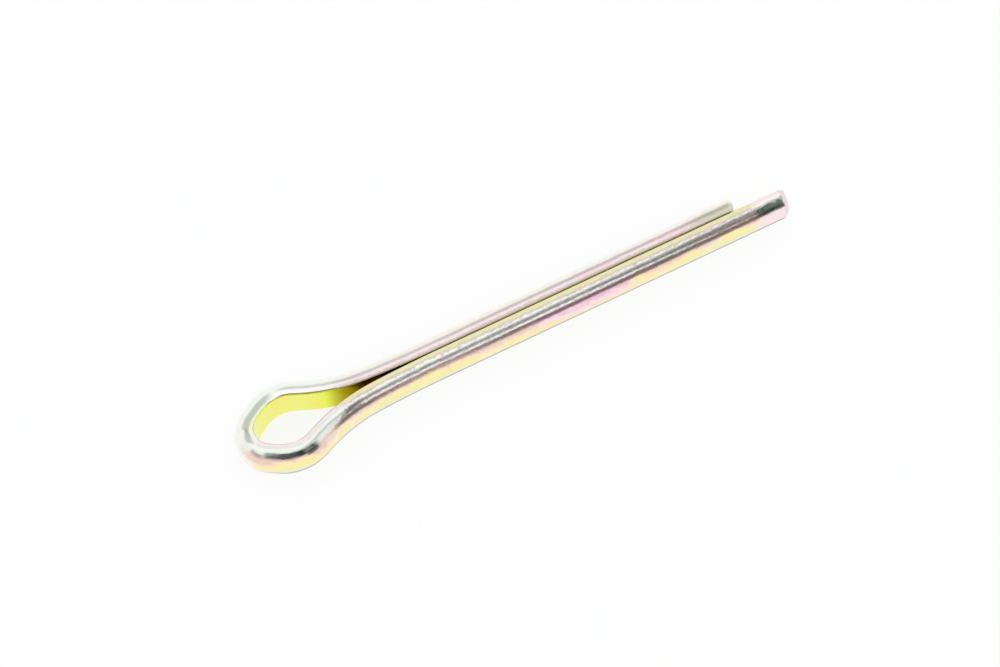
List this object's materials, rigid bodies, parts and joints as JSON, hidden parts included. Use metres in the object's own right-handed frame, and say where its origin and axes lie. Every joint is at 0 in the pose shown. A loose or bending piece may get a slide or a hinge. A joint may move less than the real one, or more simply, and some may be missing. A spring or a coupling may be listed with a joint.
{
  "type": "cotter pin",
  "caption": "Split cotter pin folded from half-round wire: an open eye at one end, and a long and a short prong lying flat to flat as one round shank.",
  "frame": {"origin": "on the shank's axis, where the neck of the eye ends and the straight shank begins", "axes": "+X along the shank towards the tips, +Y from the long prong to the short prong, +Z square to the flat of the eye, upwards as the pin lies"},
  "size_m": [0.0646, 0.0096, 0.0046],
  "materials": {
    "plated_steel": "gloss"
  },
  "bodies": {
    "root": {"cotter_pin": "plated_steel"}
  },
  "joints": []
}
